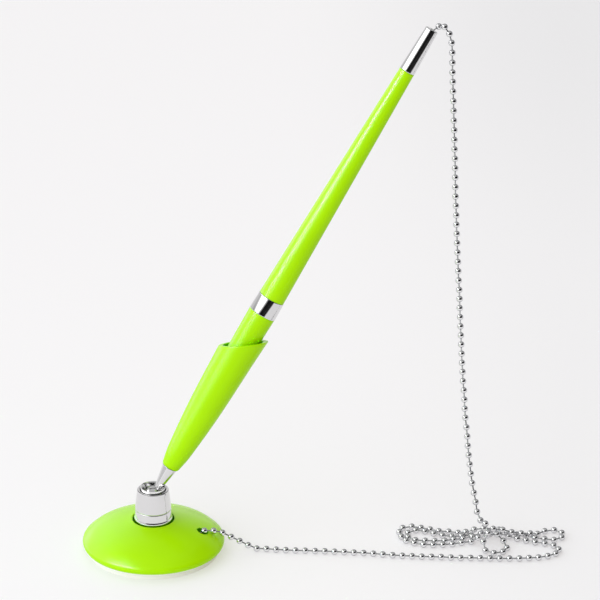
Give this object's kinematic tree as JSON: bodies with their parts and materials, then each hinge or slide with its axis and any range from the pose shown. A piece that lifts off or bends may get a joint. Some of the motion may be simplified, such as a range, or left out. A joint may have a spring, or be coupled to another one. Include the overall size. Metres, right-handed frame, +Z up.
{
  "type": "counter pen",
  "caption": "Long tapered pen standing in a slanted-mouth sheath on a ball joint over a round weighted foot, tethered by a ball chain.",
  "frame": {"origin": "centre of the foot's underside, on the counter", "axes": "+Z up along the foot's axis, +X to the right of the front view, towards the lean of the pen, -Y towards the viewer"},
  "size_m": [0.2049, 0.0717, 0.2236],
  "materials": {
    "lime_plastic": "gloss",
    "white_plastic": "satin",
    "foam": "matte",
    "steel": "satin",
    "chrome": "polished",
    "nylon": "satin",
    "brass": "satin",
    "clear_plastic": "gloss",
    "chain": "polished"
  },
  "bodies": {
    "root": {"adhesive_pad": "foam", "base_plate": "white_plastic", "weight_disc": "steel", "base_cover": "lime_plastic", "plate_screw_1": "steel", "plate_screw_2": "steel", "plate_screw_3": "steel", "chain_stop": "chain", "chain_lead": "chain"},
    "socket": {"socket_ferrule": "chrome", "socket_screw": "steel", "socket_washer": "steel", "seat_spring": "steel", "ball_seat": "nylon", "socket_collet": "chrome", "chain_front_run": "chain", "chain_pile": "chain", "chain_hang_lower": "chain"},
    "stud": {"ball_stud": "chrome", "chain_hang_upper": "chain"},
    "sheath": {"sheath": "lime_plastic"},
    "chain_end": {"chain_end_bead": "chain"},
    "pen": {"point_ball": "steel", "refill_point": "brass", "refill_tube": "clear_plastic", "refill_plug": "white_plastic", "nose_cone": "lime_plastic", "lower_barrel": "lime_plastic", "centre_ring": "chrome", "upper_barrel": "lime_plastic", "tail_cap": "chrome"}
  },
  "joints": [
    {"name": "socket_swivel", "type": "hinge", "parent": "root", "child": "socket", "pos_m": [0, 0, 0.0254], "axis": [0, 0, 1], "continuous": true, "deforming": ["chain_lead"]},
    {"name": "holder_tilt", "type": "hinge", "parent": "socket", "child": "stud", "pos_m": [0, 0, 0.0254], "axis": [-0.319, 0.9478, 0], "range_deg": [-31.65, 0], "deforming": ["chain_hang_lower"]},
    {"name": "sheath_spin", "type": "hinge", "parent": "stud", "child": "sheath", "pos_m": [0, 0, 0.0254], "axis": [0.4973, 0.1674, 0.8513], "continuous": true},
    {"name": "pen_draw", "type": "slide", "parent": "stud", "child": "chain_end", "axis": [0.5029, 0.1693, 0.8476], "range_m": [0, 0.06], "deforming": ["chain_hang_upper"]},
    {"name": "pen_spin", "type": "hinge", "parent": "chain_end", "child": "pen", "pos_m": [0.00008, 0.00003, 0.02535], "axis": [0.5029, 0.1693, 0.8476], "continuous": true}
  ]
}
